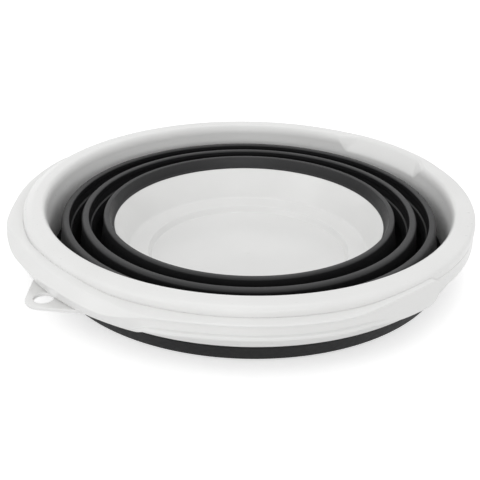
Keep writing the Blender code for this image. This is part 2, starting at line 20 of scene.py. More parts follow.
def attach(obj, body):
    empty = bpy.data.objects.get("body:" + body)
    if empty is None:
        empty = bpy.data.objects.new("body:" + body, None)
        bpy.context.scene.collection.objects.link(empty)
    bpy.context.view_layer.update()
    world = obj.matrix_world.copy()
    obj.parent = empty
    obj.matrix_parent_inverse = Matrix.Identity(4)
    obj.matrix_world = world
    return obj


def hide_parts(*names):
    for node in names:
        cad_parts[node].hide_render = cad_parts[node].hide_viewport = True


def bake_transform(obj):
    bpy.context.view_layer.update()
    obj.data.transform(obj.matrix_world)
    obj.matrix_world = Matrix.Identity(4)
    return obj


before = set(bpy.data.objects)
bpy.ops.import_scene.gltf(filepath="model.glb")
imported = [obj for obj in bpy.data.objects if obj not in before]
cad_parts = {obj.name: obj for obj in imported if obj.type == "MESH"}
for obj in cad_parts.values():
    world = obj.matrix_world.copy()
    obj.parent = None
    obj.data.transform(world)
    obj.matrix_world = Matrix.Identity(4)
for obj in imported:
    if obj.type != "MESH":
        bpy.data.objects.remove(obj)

LOG = logging.getLogger("bucket")
MM = 0.001
Array = np.ndarray
Values = Array | float
Span = tuple[float, float]


class Body(str, Enum):
    """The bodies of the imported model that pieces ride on."""

    BASE = "base"
    INNER_RING = "inner_ring"
    OUTER_RING = "outer_ring"
    RIM = "rim"
    HANDLE = "handle"


class Slot(str, Enum):
    """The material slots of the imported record."""

    WHITE = "white_polypropylene"
    BLACK = "black_rubber"


class Pivot(Enum):
    """The handle's two pivots, by their angle off the hang tab in degrees."""

    FRONT = 90.0
    BACK = -90.0


@dataclass(frozen=True)
class Fits:
    """The sizes that more than one moulding shares, in millimetres.

    The spout lies opposite the hang tab and the pivots lie across. The inner wall is the rim's,
    of which wall is the thickness, and it starts to turn over into the lip at wall_top. The
    seam is the one between the base cup and the rubber.
    """

    tab_azimuth: float = -138.5
    wall: float = 2.4
    lip_top: float = 50.18
    mouth_radius: float = 147.6
    wall_top: float = 42.2
    wall_top_radius: float = 143.6
    wall_bottom: float = 12.4
    wall_bottom_radius: float = 141.2
    pivot_height: float = 37.2
    pivot_radius: float = 4.0
    seam_radius: float = 97.0
    seam_height: float = 30.0

    def inner_wall(self, height: Values) -> Values:
        """Gives the inner face radius of the rim's inner wall.

        Args:
            height: Height above the ground.

        Returns:
            The radius: a straight line that narrows downwards, and above it a quarter of an
            ellipse that turns over into the lip.
        """
        share = (height - self.wall_bottom) / (self.wall_top - self.wall_bottom)
        straight = self.wall_bottom_radius + (self.wall_top_radius - self.wall_bottom_radius) * share
        rise = np.clip((height - self.wall_top) / (self.lip_top - self.wall_top), 0.0, 1.0)
        turn = (self.mouth_radius - self.wall_top_radius) * (1.0 - np.sqrt(1.0 - rise ** 2))
        return np.minimum(straight, self.wall_top_radius) + turn


FITS = Fits()


def smooth_step(value: Values) -> Values:
    """Maps 0..1 to 0..1 with level ends.

    Args:
        value: Any number or array; it is kept between 0 and 1 first.

    Returns:
        Three times the square of the value less twice its cube.
    """
    kept = np.clip(value, 0.0, 1.0)
    return kept * kept * (3.0 - 2.0 * kept)


def soft_clamp(value: Array, ease: float) -> Array:
    """Clamps to 0..1 with a rounded corner at each end.

    Args:
        value: The values to clamp.
        ease: Half the width of each rounded corner.

    Returns:
        The clamped values. A corner is a parabola: the square of the way into it, divided by
        four times the ease.
    """
    low = np.where(value < ease, np.maximum(value + ease, 0.0) ** 2 / (4.0 * ease), value)
    high = 1.0 - np.maximum(1.0 + ease - value, 0.0) ** 2 / (4.0 * ease)
    return np.where(value > 1.0 - ease, high, low)


def rounded(corners: Array, radii: Array, steps: int = 6) -> Array:
    """Rounds the corners of closed polygons with true arcs.

    Args:
        corners: Points of shape (sections, corners, channels). The first two channels are
            the plane; the others are carried along.
        radii: Corner radii of shape (corners,) or (sections, corners).
        steps: Points on each arc.

    Returns:
        Points of shape (sections, corners * steps, channels). An arc starts and ends at its
        radius divided by the tangent of half the corner's angle, or at 0.48 of the shorter
        side where that is nearer. Between them it is the weighted mean of start, corner and
        end, by the squares of a quadratic curve, with the sine of the half angle on the corner.
    """
    smallest_reach, largest_share = 0.1, 0.48
    before = np.roll(corners, 1, axis=1) - corners
    after = np.roll(corners, -1, axis=1) - corners
    back_length = np.linalg.norm(before[..., :2], axis=2)
    fore_length = np.linalg.norm(after[..., :2], axis=2)
    back = before / back_length[..., None]
    fore = after / fore_length[..., None]
    half = np.arccos(np.clip((back * fore)[..., :2].sum(axis=2), -1.0, 1.0)) / 2.0
    half = np.clip(half, 0.01, math.pi / 2 - 1e-4)
    reach = np.maximum(radii / np.tan(half), smallest_reach)
    reach = np.minimum(reach, largest_share * np.minimum(back_length, fore_length))[..., None, None]
    weight = np.sin(half)[..., None, None]
    share = np.linspace(0.0, 1.0, steps)[None, None, :, None]
    first = (1.0 - share) ** 2
    middle = 2.0 * share * (1.0 - share) * weight
    last = share ** 2
    corner = corners[:, :, None, :]
    start = corner + back[:, :, None, :] * reach
    end = corner + fore[:, :, None, :] * reach
    points = (first * start + middle * corner + last * end) / (first + middle + last)
    return points.reshape(corners.shape[0], -1, corners.shape[2])


def place(out: Array, side: Values, up: Array, azimuth: Values) -> Array:
    """Places points that are given along and across directions from the bucket's axis.

    Args:
        out: Distances along the direction in millimetres.
        side: Distances to its left.
        up: Heights.
        azimuth: The directions in degrees. All four spread over (rows, columns).

    Returns:
        Points of shape (rows, columns, 3) in metres: the two level distances turned by
        the azimuth, and the height.
    """
    turn = np.radians(azimuth)
    x = out * np.cos(turn) - side * np.sin(turn)
    y = out * np.sin(turn) + side * np.cos(turn)
    return np.stack(np.broadcast_arrays(x, y, up), axis=2) * MM


def from_grid(name: str, grid: Array, wrap_rows: bool = True, sharp: float = 42.0) -> Object:
    """Builds a closed skin from a grid whose columns close on themselves.

    Args:
        name: Name of the object.
        grid: Points of shape (rows, columns, 3) in metres.
        wrap_rows: True where the last row joins the first; otherwise both end rows
            are closed by a fan round their middle.
        sharp: Angle in degrees above which an edge is shaded sharp.

    Returns:
        The new object. Its faces are turned where each face's area vector times its
        middle sums up to less than nothing, because they then point inwards.
    """
    rows, columns, _ = grid.shape
    index = np.arange(rows * columns).reshape(rows, columns)
    here = index if wrap_rows else index[:-1]
    there = np.roll(index, -1, axis=0) if wrap_rows else index[1:]
    sides = [here, np.roll(here, -1, axis=1), np.roll(there, -1, axis=1), there]
    quads = np.stack(sides, axis=-1).reshape(-1, 4)
    points = grid.reshape(-1, 3)
    faces = quads.tolist()
    if not wrap_rows:
        hub = np.full(columns, len(points))
        first = np.stack([hub, np.roll(index[0], -1), index[0]], axis=-1)
        last = np.stack([hub + 1, index[-1], np.roll(index[-1], -1)], axis=-1)
        points = np.concatenate([points, [grid[0].mean(axis=0), grid[-1].mean(axis=0)]])
        faces += first.tolist() + last.tolist()
    corners = points[quads]
    area = np.cross(corners[:, 1] - corners[:, 0], corners[:, 2] - corners[:, 0])
    area += np.cross(corners[:, 2] - corners[:, 0], corners[:, 3] - corners[:, 0])
    mesh = bpy.data.meshes.new(name)
    mesh.from_pydata(points.tolist(), [], faces)
    if float((area * corners.mean(axis=1)).sum()) < 0.0:
        mesh.flip_normals()
    mesh.shade_smooth()
    mesh.set_sharp_from_angle(angle=math.radians(sharp))
    mesh.validate()
    thing = bpy.data.objects.new(name, mesh)
    bpy.context.scene.collection.objects.link(thing)
    return thing


def turned(name: str, corners: list) -> Object:
    """Turns one rounded section about the bucket's axis, in 256 even columns.

    Args:
        name: Name of the object.
        corners: (radius, height, rounding) of each corner of the closed section.

    Returns:
        The new object.
    """
    table = np.array([corners], float)
    outline = rounded(table[..., :2], table[..., 2])
    azimuth = np.linspace(0.0, 360.0, 256, endpoint=False)[:, None]
    grid = place(outline[..., 0], 0.0, outline[..., 1], azimuth)
    return from_grid(name, grid)


def across(name: str, corners: list, azimuth: float, height: float) -> Object:
    """Turns one rounded section about a level line through the bucket's axis.

    Args:
        name: Name of the object.
        corners: (distance from the bucket's axis, radius off the line, rounding) by corner.
        azimuth: Direction of the line.
        height: Height of the line.

    Returns:
        The new object. A point lies off the line by its radius, times the cosine of the
        turn to the side and times the sine upwards.
    """
    table = np.array([corners], float)
    outline = rounded(table[..., :2], table[..., 2], 5)
    turn = np.linspace(0.0, math.tau, 48, endpoint=False)[:, None]
    out, radius = outline[..., 0], outline[..., 1]
    grid = place(out, radius * np.cos(turn), height + radius * np.sin(turn), azimuth)
    return from_grid(name, grid)


def linear(hex_colour: str) -> tuple[float, float, float, float]:
    """Turns an sRGB hex colour into linear values.

    Args:
        hex_colour: Six hexadecimal digits.

    Returns:
        Red, green, blue and a full alpha. Each is its value divided by 12.92 up to
        0.04045, and above it the value plus 0.055, divided by 1.055, to the power 2.4.
    """
    values = np.array([int(hex_colour[index:index + 2], 16) for index in (0, 2, 4)]) / 255.0
    straight = np.where(values <= 0.04045, values / 12.92, ((values + 0.055) / 1.055) ** 2.4)
    return (*straight.tolist(), 1.0)


def node(tree: NodeTree, kind: str, inputs: dict | None = None, **settings: str | bool) -> Node:
    """Adds a node, sets its properties and fills or links its inputs.

    Args:
        tree: The node tree.
        kind: Type name of the node.
        inputs: Values or output sockets by input name or number.
        **settings: Properties of the node.

    Returns:
        The new node.
    """
    made = tree.nodes.new(kind)
    for key, value in settings.items():
        setattr(made, key, value)
    for key, value in (inputs or {}).items():
        if isinstance(value, NodeSocket):
            tree.links.new(value, made.inputs[key])
        else:
            made.inputs[key].default_value = value
    return made


@dataclass(frozen=True)
class Finish:
    """What one moulded finish looks like.

    Colours are sRGB hex, and sizes millimetres.

    Attributes:
        colour: Main colour.
        shade: The colour it drifts towards, in clouds of the size of cloud.
        roughness: Lowest and highest roughness, in specks as wide as speck times the grain.
        grain: Width of the mould's texture as drawn.
        depth: Depth of that texture.
        specular: Specular level of the surface.
        crest_tint: The colour that the tops of the crests turn towards, or nothing.
    """

    name: str
    colour: str
    shade: str
    roughness: Span
    grain: float
    depth: float
    specular: float
    crest_tint: str | None = None
    cloud: float = 60.0
    speck: float = 6.0

    def material(self) -> Material:
        """Makes the finish's node material.

        Returns:
            The material. Cloudy noise drifts the colour, finer noise the roughness, the finest
            gives the mould's texture, and a mark lightens the colour towards the crest tops.
        """
        material = bpy.data.materials.new(self.name)
        material.use_nodes = True
        tree = material.node_tree
        shader = tree.nodes["Principled BSDF"]
        spot = node(tree, "ShaderNodeTexCoord").outputs["Object"]
        noises = [(self.cloud, 3.0, 0.5), (self.grain * self.speck, 4.0, 0.6), (self.grain, 2.0, 0.5)]
        cloud, speck, grain = [
            node(tree, "ShaderNodeTexNoise", {
                "Vector": spot, "Scale": 1.0 / (size * MM), "Detail": detail,
                "Roughness": roughness}).outputs["Fac"] for size, detail, roughness in noises]
        # Most of a noise lies in the middle of 0 to 1, and that part is spread over the whole.
        drift = node(tree, "ShaderNodeMapRange", {"Value": cloud, "From Min": 0.35, "From Max": 0.65})
        # Inputs 6 and 7 of a Mix node, and its output 2, are its colours.
        colour = node(tree, "ShaderNodeMix", {
            0: drift.outputs["Result"], 6: linear(self.colour), 7: linear(self.shade)},
            data_type="RGBA")
        if self.crest_tint:
            # Towards the tops of the crests the rubber's colour is made a little greyer, in patches.
            crest_top_mark = node(tree, "ShaderNodeAttribute", attribute_name="crest_top_mark")
            patchy = node(tree, "ShaderNodeMath", {
                0: crest_top_mark.outputs["Fac"], 1: drift.outputs["Result"], 2: crest_top_mark.outputs["Fac"]},
                operation="MULTIPLY_ADD")
            colour = node(tree, "ShaderNodeMix", {
                0: patchy.outputs[0], 6: colour.outputs[2], 7: linear(self.crest_tint)},
                data_type="RGBA", clamp_factor=True)
        tree.links.new(colour.outputs[2], shader.inputs["Base Color"])
        blend = node(tree, "ShaderNodeMapRange", {
            "Value": speck, "From Min": 0.3, "From Max": 0.7,
            "To Min": self.roughness[0], "To Max": self.roughness[1]})
        tree.links.new(blend.outputs["Result"], shader.inputs["Roughness"])
        bump = node(tree, "ShaderNodeBump", {"Height": grain, "Strength": 1.0, "Distance": self.depth * MM})
        tree.links.new(bump.outputs["Normal"], shader.inputs["Normal"])
        shader.inputs["Specular IOR Level"].default_value = self.specular
        return material


# Both polymers have an IOR near 1.5, which is the shader's own. The texture that a mould leaves
# is some hundredths of a millimetre wide, too fine to show, so it is drawn ten times as coarse.

# Polypropylene, injection moulded in a polished tool: a milky white with an even, soft gloss.
PP_RIM = Finish("pp_moulded_rim", "EAEAE9", "E6E6E5", (0.27, 0.34), 0.60, 0.0005, 0.36)
# The same polypropylene where hands hold it: its highlights are a little broader.
PP_HANDLE = Finish("pp_moulded_handle", "EAEAE9", "E6E6E5", (0.28, 0.35), 0.60, 0.0006, 0.36)
# The same polypropylene off the tool's smoothest face: its highlights are clearer and narrower.
PP_CUP = Finish("pp_moulded_cup", "EAEAE9", "E7E7E6", (0.18, 0.24), 0.60, 0.0004, 0.36)
# Thermoplastic rubber, moulded over the white parts in an etched tool: near black and satin,
# with broad, weak highlights, and a colour a little greyer towards the crest tops.
TPR_FOLDS = Finish("tpr_moulded_folds", "1A1A1B", "1F1F20", (0.40, 0.50), 0.40, 0.004, 0.34, "2E2E2F")
# The same rubber where it slides over the ground: duller, with hardly a highlight.
TPR_FOOT = Finish("tpr_moulded_foot", "1A1A1B", "1F1F20", (0.55, 0.68), 0.40, 0.005, 0.20, "2E2E2F")


@dataclass(frozen=True)
class Rim:
    """The white rim moulding: lip, inner wall, flange, skirt, spout, hang tab and bosses.

    The spout is a panel that leans outwards, with a three-cornered facet at each end. A facet
    stands on a short foot about spout_tip and widens upwards until it reaches from spout_panel
    to spout_edge at the lip; these are degrees off the spout's middle.
    """

    fits: Fits = FITS
    finish: Finish = PP_RIM
    lip_radius: float = 160.0
    lip_round: float = 4.0
    lip_fall: float = 1.4
    lip_extra: float = 0.4
    crease_height: float = 42.0
    crease_depth: float = 1.1
    flange_radius: float = 159.7
    flange_bottom: float = 31.4
    skirt_radius: float = 150.44
    skirt_bottom: float = 16.6
    skirt_draft: float = 1.9
    spout_radius: float = 152.4
    spout_turn: float = 2.4
    spout_drop: float = 12.4
    spout_tip: float = 14.7
    spout_tip_half: float = 0.25
    spout_panel: float = 12.0
    spout_edge: float = 18.6
    tab_top: float = 26.4
    tab_thickness: float = 2.5
    tab_reach: float = 171.2
    tab_tip_radius: float = 11.7
    tab_tip_angle: float = 42.5
    tab_half_width: float = 33.0
    tab_hole_radius: float = 6.4
    tab_root: float = 0.4
    boss_radius: float = 5.6
    boss_stand: float = 1.6
    boss_root: float = 0.6
    bore_play: float = 0.1

    def facet_foot(self) -> tuple[float, float]:
        """Gives the two ends of a facet's foot, in degrees off the spout's middle."""
        return self.spout_tip - self.spout_tip_half, self.spout_tip + self.spout_tip_half

    def columns(self) -> tuple[Array, Array]:
        """Lays out the columns round the rim, close together at the corners of the facets.

        Returns:
            Two arrays: the columns' angles off the spout's middle at the spout's foot, and
            the same at the lip. Each has even steps up to a facet, fixed shares of the
            facet's width, even steps to the far side, and then the mirror image of these.
        """
        gap = 0.9
        shares = np.array([-0.10, -0.05, 0.0, 0.05, 0.10, 0.3, 0.5, 0.7, 0.90, 0.95, 1.0, 1.05, 1.10])
        rounds = []
        for low, high in (self.facet_foot(), (self.spout_panel, self.spout_edge)):
            facet = low + (high - low) * shares
            before = np.linspace(0.0, facet[0] - gap, 14)
            half = np.concatenate([before, facet, np.linspace(facet[-1] + gap, 180.0, 121)])
            rounds.append(np.concatenate([half, -half[1:-1][::-1]]))
        return rounds[0], rounds[1]

    def corners(self) -> tuple[Array, Array, Array]:
        """Gives the rim's section.

        Returns:
            The (radius, height) corners, their rounding radii, and the share of the spout's
            push that each corner takes. The inner wall and its turn into the lip are points
            of Fits.inner_wall, even in height and then in angle.
        """
        f = self.fits
        spout_foot = f.lip_top - self.spout_drop
        hollow_top = f.lip_top - self.lip_fall - f.wall - self.lip_extra
        hollow_foot = self.flange_bottom + f.wall
        hollow_radius = self.flange_radius - f.wall
        skirt_top = self.skirt_radius + self.skirt_draft
        dome = (f.mouth_radius + self.lip_radius) / 2, f.lip_top - self.lip_fall * 0.32
        turn = np.radians(np.linspace(0.0, 84.0, 13))
        heights = np.concatenate([
            np.linspace(f.wall_bottom, spout_foot, 4),
            np.linspace(spout_foot, f.wall_top, 4)[1:-1],
            f.wall_top + (f.lip_top - f.wall_top) * np.sin(turn)])
        rows = [
            *((f.inner_wall(height), height, 0.2, 1) for height in heights),
            (f.mouth_radius, f.lip_top, 0.5, 1), (*dome, 9.0, 0.45),
            (self.lip_radius, f.lip_top - self.lip_fall, self.lip_round, 0),
            (self.lip_radius, self.crease_height + 0.6, 0.5, 0),
            (self.lip_radius - self.crease_depth, self.crease_height, 0.35, 0),
            (self.flange_radius, self.crease_height - 0.8, 0.6, 0),
            (self.flange_radius, self.flange_bottom, 1.0, 0), (skirt_top, self.flange_bottom, 0.8, 0),
            (self.skirt_radius, self.skirt_bottom, 0.6, 0),
            (self.skirt_radius - f.wall, self.skirt_bottom, 0.6, 0),
            (skirt_top - f.wall, hollow_foot, 0.5, 0),
            (hollow_radius, hollow_foot, 0.5, 0), (hollow_radius, hollow_top, 1.5, 0),
            (f.inner_wall(hollow_top) + f.wall + self.lip_extra, hollow_top, 1.5, 1),
            (f.inner_wall(spout_foot) + f.wall, spout_foot, 0.5, 1),
            (f.inner_wall(f.wall_bottom) + f.wall, f.wall_bottom, 0.5, 1)]
        table = np.array(rows, float)
        # The first point, the foot of the inner wall, is rounder than the rest of it.
        table[0, 2] = 0.5
        return table[:, :2], table[:, 2], table[:, 3]

    def shell(self) -> Object:
        """Builds the shell: one section all round, with the spout pressed into its mouth.

        Returns:
            The shell. A point at the spout moves outwards by the panel's distance from the
            inner wall, times how far it is inside the spout, from 0 to 1 across a facet, and
            times its corner's share. The panel's lean is the square of its rise at first and
            then straight, and a quarter of an ellipse turns it into the lip.
        """
        f = self.fits
        rise_ease, side_ease, lean_ease, turn_share = 0.04, 0.10, 0.25, 0.7
        corners, radii, weight = self.corners()
        outline = rounded(np.column_stack([corners, weight])[None], radii, 5)[0]
        height, pull = outline[:, 1], outline[:, 2]
        rise = soft_clamp(1.0 - (f.lip_top - height) / self.spout_drop, rise_ease)
        foot, top = self.columns()
        angle = foot[:, None] + (top - foot)[:, None] * rise[None, :]
        foot_low, foot_high = self.facet_foot()
        low = foot_low + (self.spout_panel - foot_low) * rise
        high = foot_high + (self.spout_edge - foot_high) * rise
        inside = soft_clamp((high[None] - np.abs(angle)) / (high - low)[None], side_ease)
        foot_radius = f.inner_wall(f.lip_top - self.spout_drop)
        lean = rise ** 2 * (1.0 + lean_ease) / (rise + lean_ease)
        over = np.clip((height - f.lip_top + self.spout_turn) / self.spout_turn, 0.0, 1.0)
        panel = foot_radius + (self.spout_radius - foot_radius) * lean
        panel += turn_share * self.spout_turn * (1.0 - np.sqrt(1.0 - over ** 2))
        away = np.where(rise > 0.0, panel - f.inner_wall(np.minimum(height, f.lip_top)), 0.0)
        push = away[None] * inside * np.clip(pull, 0.0, 1.0)[None]
        grid = place(outline[None, :, 0] + push, 0.0, height, f.tab_azimuth + 180.0 + angle)
        return from_grid("rim_moulding", grid, sharp=60.0)

    def tab(self) -> Object:
        """Builds the hang tab as a rounded plate between its hole and its outline.

        Returns:
            The tab. Round the hole the outline is the nearest of the tip's circle with its
            tangents, the sides, and the skirt's circle, each as a distance from the hole.
        """
        angle = np.linspace(-math.pi, math.pi, 384, endpoint=False)
        past = np.maximum(np.abs(angle) - math.radians(self.tab_tip_angle), 0.0)
        edge = self.tab_tip_radius / np.maximum(np.cos(past), 0.05)
        side = self.tab_half_width / np.maximum(np.abs(np.sin(angle)), 0.05)
        # The plate runs tab_root into the skirt. Where no skirt lies that way, far stands for it.
        root, far = self.skirt_radius - self.tab_root, 1e3
        along = -self.tab_reach * np.cos(angle)
        inner = along ** 2 - self.tab_reach ** 2 + root ** 2
        skirt = np.where((inner > 0.0) & (along > 0.0), along - np.sqrt(np.maximum(inner, 0.0)), far)
        outer = np.minimum(np.minimum(edge, side), skirt)
        hole = np.full_like(outer, self.tab_hole_radius)
        high = np.full_like(outer, self.tab_top)
        low = high - self.tab_thickness
        pairs = [(hole, low), (hole, high), (outer, high), (outer, low)]
        corners = np.stack([np.stack(pair, axis=1) for pair in pairs], axis=1)
        section = rounded(corners, np.array([0.4, 0.4, 0.6, 0.6]))
        out = self.tab_reach + section[..., 0] * np.cos(angle)[:, None]
        aside = section[..., 0] * np.sin(angle)[:, None]
        grid = place(out, aside, section[..., 1], self.fits.tab_azimuth)
        return from_grid("hang_tab", grid)

    def boss(self, pivot: Pivot) -> Object:
        """Builds the ring behind the flange that carries a snap stud.

        Args:
            pivot: Which of the two.

        Returns:
            The boss.
        """
        f = self.fits
        name = "pivot_boss_" + pivot.name.lower()
        bore = f.pivot_radius + self.bore_play
        face = self.flange_radius - f.wall
        back, front = face - self.boss_stand, face + self.boss_root
        corners = [
            (back, bore, 0.3), (back, self.boss_radius, 0.5), (front, self.boss_radius, 0.2),
            (front, bore, 0.2)]
        return across(name, corners, f.tab_azimuth + pivot.value, f.pivot_height)

    def build(self) -> list[Object]:
        """Builds the rim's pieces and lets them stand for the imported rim.

        Returns:
            The pieces.
        """
        material = self.finish.material()
        pieces = [self.shell(), self.tab(), self.boss(Pivot.FRONT), self.boss(Pivot.BACK)]
        for piece in pieces:
            piece.data.materials.append(material)
            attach(piece, Body.RIM.value)
            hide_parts("rim")
        return pieces


@dataclass(frozen=True)
class Handle:
    """The white bail handle: grip, grooved arms, pads and snap studs.

    A top is a height above the line through the studs, a foot a depth below it. A pair of
    angles, in degrees off the handle's middle, is where a change from grip to arm, or from arm
    to pad, starts and ends.
    """

    fits: Fits = FITS
    finish: Finish = PP_HANDLE
    radius: float = 160.08
    grip_top: float = 8.3
    grip_foot: float = 10.5
    grip_thick: float = 12.2
    grip_slope: float = 6.2
    shoulder_fall: float = 5.0
    shoulder_depth: float = 5.2
    arm_top: float = 5.9
    arm_foot: float = 5.6
    arm_thick: float = 8.65
    groove_depth: float = 2.2
    flange_height: float = 3.1
    brim_height: float = 1.7
    shell_wall: float = 2.8
    pocket_depths: Span = (7.0, 2.6)
    pad_top: float = 8.8
    pad_foot: float = 9.6
    pad_thick: float = 3.6
    pad_end: float = 15.6
    pad_corner: float = 8.0
    end_round: float = 0.9
    recess: float = 0.4
    rib_angles: tuple[float, ...] = (0.0, 9.0, 18.0)
    rib_half: float = 0.4
    rib_flank: float = 0.3
    pocket_end: float = 23.0
    top_change: Span = (4.0, 19.0)
    shoulder_change: Span = (16.0, 30.0)
    edge_change: Span = (18.0, 26.0)
    thick_change: Span = (22.0, 42.0)
    foot_change: Span = (24.6, 28.4)
    groove_change: Span = (25.0, 31.0)
    pad_thick_change: Span = (67.0, 84.0)
    pad_top_change: Span = (70.0, 92.0)
    pad_foot_change: Span = (72.0, 85.0)
    stud_inner: float = 153.2
    stud_neck: float = 155.2
    stud_outer: float = 162.6
    stud_head: float = 4.7
    stud_hollow: float = 1.2

    @staticmethod
    def span(off: Array, ends: Span) -> Array:
        """Gives 0 up to the first angle, 1 from the last, and an ease between them."""
        return smooth_step((off - ends[0]) / (ends[1] - ends[0]))

    def section(self, angle: Array) -> tuple[Array, Array]:
        """Gives the handle's sections.

        Args:
            angle: Degrees off the handle's middle.

        Returns:
            Corners of shape (sections, 14, 2) as (radius, height off the pivot), and their
            rounding radii of shape (sections, 14). Each size is the grip's, plus its change
            to the arm and then to the pad, times the ease between their angles. The pad's
            corners fall by a quarter of a circle, and the back is hollow between the ribs.
        """
        off = np.abs(angle)
        past = np.radians(np.maximum(off - 90.0, 0.0)) * self.radius
        corner = np.clip(past - self.pad_end + self.pad_corner, 0.0, self.pad_corner)
        fall = self.pad_corner - np.sqrt(self.pad_corner ** 2 - corner ** 2)
        thinned = self.span(off, self.pad_thick_change)
        grip = 1.0 - self.span(off, self.foot_change)
        shoulder = 1.0 - self.span(off, self.shoulder_change)
        top = self.grip_top + (self.arm_top - self.grip_top) * self.span(off, self.top_change)
        top += (self.pad_top - fall - top) * self.span(off, self.pad_top_change)
        foot = self.arm_foot + (self.grip_foot - self.arm_foot) * grip
        foot += (self.pad_foot - fall - foot) * self.span(off, self.pad_foot_change)
        thick = self.grip_thick + (self.arm_thick - self.grip_thick) * self.span(off, self.thick_change)
        thick += (self.pad_thick - thick) * thinned
        base = np.full_like(off, self.radius)
        recess = base + self.recess
        outer = base + thick
        low_outer = outer - self.grip_slope * grip
        groove = self.groove_depth * self.span(off, self.groove_change) * (1.0 - thinned)
        # Flange, brim and shell are at most a share of the height, so that they fit anywhere.
        tall = top + foot
        flange = np.minimum(self.flange_height, 0.3 * tall)
        brim = np.minimum(self.brim_height, 0.2 * tall) + self.shoulder_fall * shoulder
        shell = np.minimum(self.shell_wall, 0.3 * tall)
        side = low_outer + (outer - low_outer) * np.clip(flange / tall * 1.6, 0.0, 1.0)
        rib = np.min(np.abs(off[:, None] - np.array(self.rib_angles)), axis=1)
        pocket = np.clip((rib - self.rib_half) / self.rib_flank, 0.0, 1.0)
        pocket *= np.clip((self.pocket_end - off) / self.rib_flank, 0.0, 1.0)
        pairs = [
            (recess, -foot), (low_outer, -foot), (side, flange - foot),
            (side - groove, flange - foot + 0.4), (outer - groove, top - brim - 0.4),
            (outer, top - brim), (outer - self.shoulder_depth * shoulder, top),
            (base, top), (base, top - 0.9), (recess, top - 1.6), (recess, top - shell),
            (recess + self.pocket_depths[0] * pocket, top - shell - 0.4),
            (recess + self.pocket_depths[1] * pocket, shell - foot + 0.4), (recess, shell - foot)]
        edge = np.minimum(1.3 + 0.9 * (1.0 - self.span(off, self.edge_change)), thick / 2.4)
        rounds = [
            0.5, edge, 1.0, 0.8, 0.8, 1.0 + 2.6 * shoulder, edge + 0.8 * shoulder,
            0.03, 0.1, 0.1, 0.3, 0.6, 0.6, 0.4]
        corners = np.stack([np.stack(pair, axis=1) for pair in pairs], axis=1)
        return corners, np.stack([np.broadcast_to(one, off.shape) for one in rounds], axis=1)

    def bail(self) -> Object:
        """Builds the handle from pad to pad.

        Returns:
            The handle. Its sections follow the rim's circle, 0.6 degrees apart and closer at
            the ribs, the pocket's end and the pads. Over the end_round of each pad they
            shrink towards their middle by a quarter of a circle, which rounds the end.
        """
        flank = self.rib_half + self.rib_flank
        steps = (-flank, -self.rib_half, self.rib_half, flank)
        ribs = [rib + step for rib in self.rib_angles for step in steps]
        pad = self.pad_end - self.pad_corner * (1.0 - np.linspace(0.0, 1.0, 18) ** 0.6)
        half = np.concatenate([
            ribs, [self.pocket_end - self.rib_flank, self.pocket_end],
            np.arange(0.0, 90.0, 0.6), 90.0 + np.degrees(pad / self.radius)])
        half = np.unique(np.round(half[half >= 0.0], 4))
        half = half[np.concatenate([[True], np.diff(half) > 0.02])]
        angle = np.concatenate([-half[:0:-1], half])
        corners, radii = self.section(angle)
        outline = rounded(corners, radii, 5)
        left = np.radians(90.0 - np.abs(angle)) * self.radius + self.pad_end
        kept = np.sqrt(1.0 - (1.0 - np.clip(left / self.end_round, 0.0, 1.0)) ** 2)
        middle = outline.mean(axis=1, keepdims=True)
        inset = np.minimum(self.end_round, np.ptp(outline[..., 0], axis=1) * 0.4)
        size = np.linalg.norm(outline - middle, axis=2, keepdims=True)
        shrink = ((1.0 - kept) * inset)[:, None, None] / np.maximum(size, 0.5)
        outline = middle + (outline - middle) * (1.0 - shrink)
        height, azimuth = outline[..., 1] + self.fits.pivot_height, self.fits.tab_azimuth + angle
        grid = place(outline[..., 0], 0.0, height, azimuth[:, None])
        return from_grid("bail_handle", grid, wrap_rows=False, sharp=50.0)

    def stud(self, pivot: Pivot) -> Object:
        """Builds a stud with its snap head, turned about the handle's axis.

        Args:
            pivot: Which of the two.

        Returns:
            The stud.
        """
        f = self.fits
        name = "snap_stud_" + pivot.name.lower()
        corners = [
            (self.stud_inner, self.stud_hollow, 0.4), (self.stud_inner, self.stud_head, 0.6),
            (self.stud_neck, self.stud_head, 0.3), (self.stud_neck, f.pivot_radius, 0.2),
            (self.stud_outer, f.pivot_radius, 0.3), (self.stud_outer, self.stud_hollow, 0.3)]
        return across(name, corners, f.tab_azimuth + pivot.value, f.pivot_height)

    def build(self) -> list[Object]:
        """Builds the handle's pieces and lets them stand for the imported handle.

        Returns:
            The pieces.
        """
        material = self.finish.material()
        pieces = [self.bail(), self.stud(Pivot.FRONT), self.stud(Pivot.BACK)]
        for piece in pieces:
            piece.data.materials.append(material)
            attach(piece, Body.HANDLE.value)
            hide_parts("handle")
        return pieces


